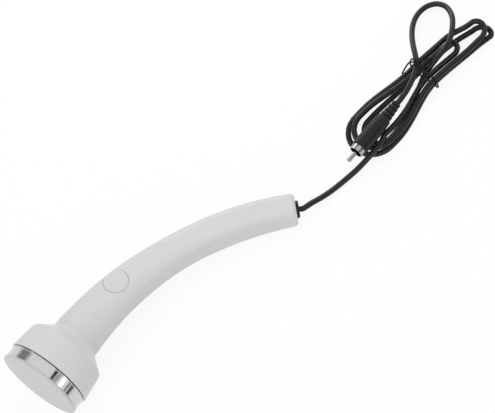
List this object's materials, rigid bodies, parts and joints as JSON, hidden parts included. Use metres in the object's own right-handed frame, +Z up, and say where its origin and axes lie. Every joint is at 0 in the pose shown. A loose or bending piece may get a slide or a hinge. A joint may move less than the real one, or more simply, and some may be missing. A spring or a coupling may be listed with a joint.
{
  "type": "handheld wand massager",
  "caption": "Curved handheld massage wand with a wide flat treatment head, a thumb push button, and a thin lead tied in a hank that ends in a phono plug.",
  "frame": {"origin": "centre of the wand's box on the surface it lies on, without the lead, its tie and its plug", "axes": "+X from the head to the cord end along the handle's chord, +Y to the outside of the handle's bend, +Z up from the surface, on the button's side"},
  "size_m": [0.4055, 0.0965, 0.06],
  "materials": {
    "shell": "semi-gloss light grey-white moulding",
    "button": "semi-gloss light grey-white moulding",
    "bezel": "polished",
    "face": "fine satin",
    "gasket": "matt",
    "steel": "plain",
    "piezo": "plain",
    "wire_red": "matt",
    "wire_black": "matt",
    "switch_plunger": "matt",
    "switch": "matt",
    "board": "satin",
    "gland": "satin",
    "clamp": "matt",
    "lead": "satin",
    "tie": "satin",
    "plug": "satin",
    "contact": "bright nickel",
    "insulator": "matt"
  },
  "bodies": {
    "wand": {"front_shell": "shell", "rear_shell": "shell", "head_housing": "shell", "chrome_bezel": "bezel", "face_plate": "face", "head_gasket": "gasket", "snap_ring": "steel", "piezo_disc": "piezo", "head_signal_wire": "wire_red", "head_ground_wire": "wire_black", "switch_body": "switch", "switch_board": "board", "board_screws": "steel", "shell_screws": "steel", "cable_gland": "gland", "cord_clamp": "clamp", "clamp_screws": "steel", "inner_lead": "lead", "lead_signal_wire": "wire_red", "lead_ground_wire": "wire_black", "cord_lead": "lead", "cord_hank": "lead", "cord_tail": "lead", "cord_tie": "tie", "plug_boot": "plug", "plug_barrel": "plug", "plug_shield": "contact", "plug_insulator": "insulator", "plug_pin": "contact"},
    "button": {"button_cap": "button", "switch_plunger": "switch_plunger"}
  },
  "joints": [
    {"name": "button_press", "type": "slide", "parent": "wand", "child": "button", "axis": [-0.0778, -0.1722, -0.982], "range_m": [0, 0.0006], "stiffness_N_per_m": 1500}
  ]
}
